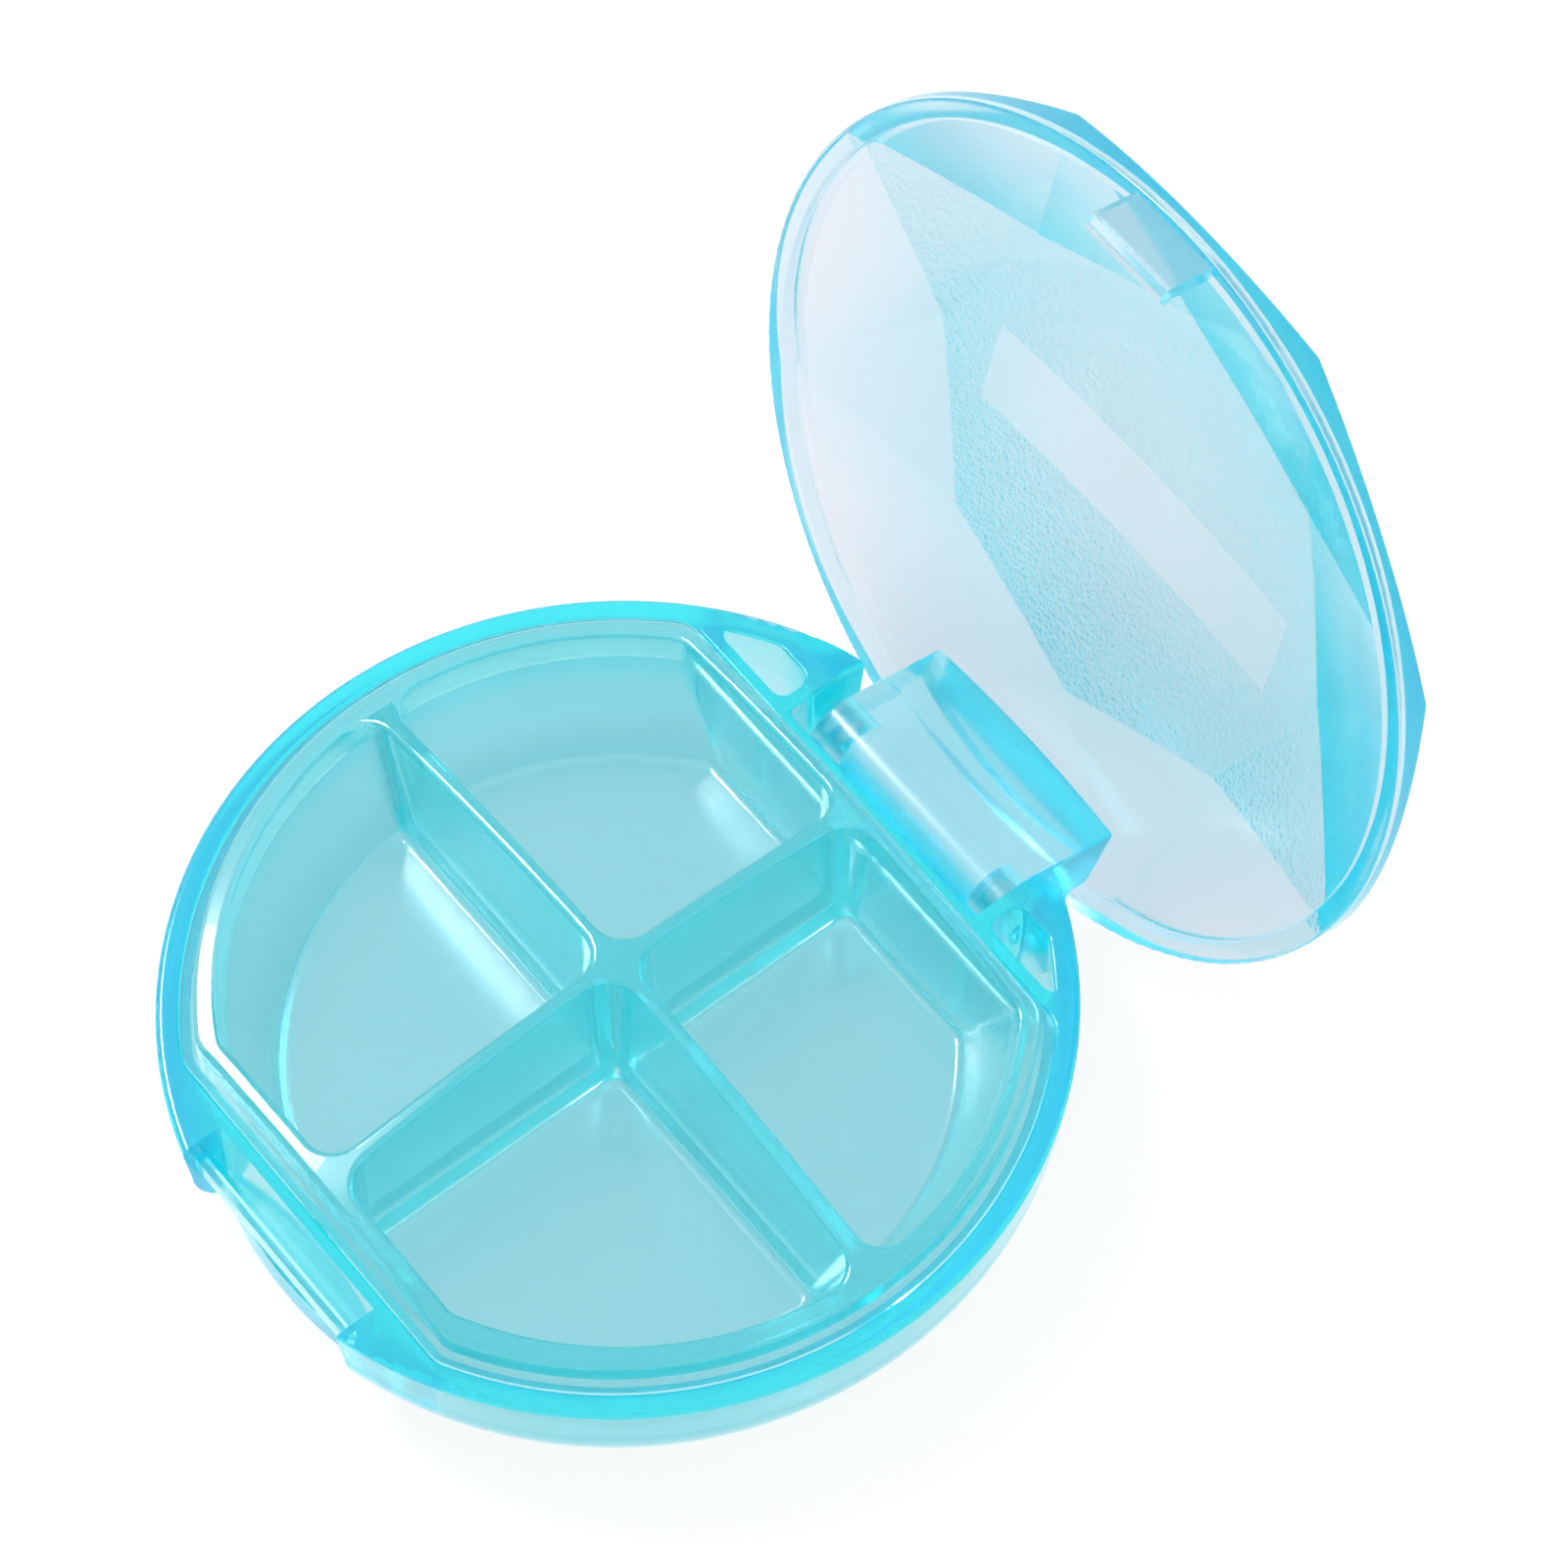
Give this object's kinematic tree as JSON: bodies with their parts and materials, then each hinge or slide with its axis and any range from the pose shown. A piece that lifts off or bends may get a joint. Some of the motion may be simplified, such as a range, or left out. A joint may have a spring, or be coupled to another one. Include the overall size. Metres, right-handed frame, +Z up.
{
  "type": "pill box",
  "caption": "Round pocket pill box: bowl-shaped case, divided tray with a raised lip, and a gem-cut lid on a snap-in knuckle hinge with a latch, in clear tinted plastic.",
  "frame": {"origin": "Centre of the case's flat underside, on the surface that it stands on.", "axes": "+Z up; +Y from the middle towards the hinge and -Y towards the latch; +X along the hinge axis, to the right as seen from the latch. At rest the lid stands open on its stop."},
  "size_m": [0.075, 0.0962, 0.0738],
  "materials": {
    "case_plastic": "clear tinted gloss",
    "tray_plastic": "clear tinted gloss",
    "lid_plastic": "clear tinted gloss"
  },
  "bodies": {
    "base": {"case": "case_plastic", "compartment_tray": "tray_plastic"},
    "lid": {"lid": "lid_plastic"}
  },
  "joints": [
    {"name": "lid_hinge", "type": "hinge", "parent": "base", "child": "lid", "pos_m": [0, 0.0322, 0.0072], "axis": [1, 0, 0], "range_deg": [0, 104]}
  ]
}
